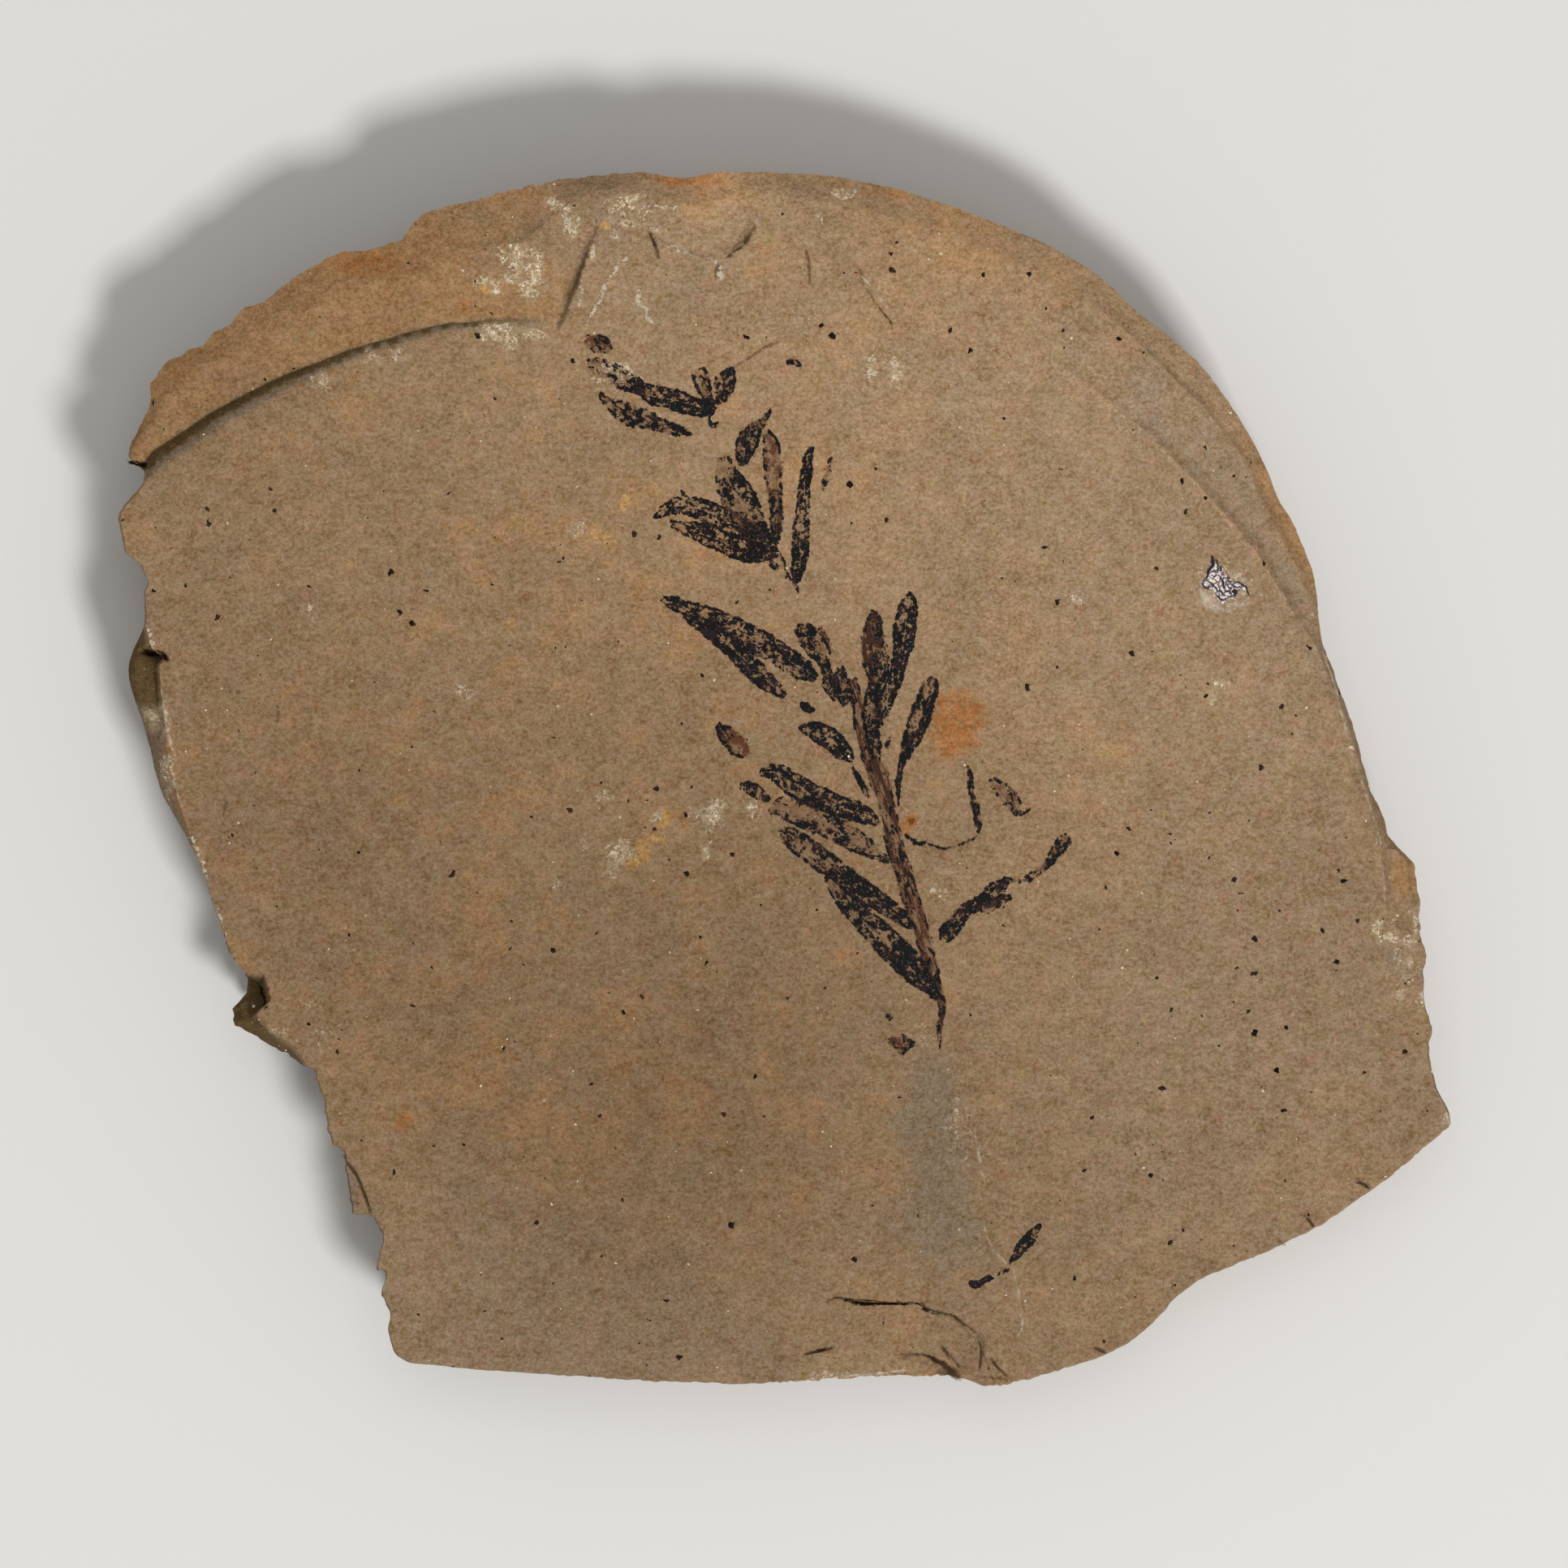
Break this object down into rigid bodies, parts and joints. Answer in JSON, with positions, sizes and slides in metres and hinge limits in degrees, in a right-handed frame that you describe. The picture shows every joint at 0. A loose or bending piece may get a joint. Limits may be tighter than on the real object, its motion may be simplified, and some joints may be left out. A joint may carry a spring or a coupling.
{
  "type": "fossil plate",
  "caption": "Split slab of tan shale with broken edges and a carbonised dawn redwood twig lying on its flat upper face.",
  "frame": {"origin": "under the middle of the plate's box, on the flat it rests on", "axes": "+Z out of the fossil face, through the thickness; +X across the plate's longer side; +Y towards the arched edge"},
  "size_m": [0.12, 0.1096, 0.0143],
  "materials": {
    "shale": "fine-grained tan shale, dull, with a black and brown carbon film where the leaves lie"
  },
  "bodies": {
    "root": {"slab": "shale"}
  },
  "joints": []
}
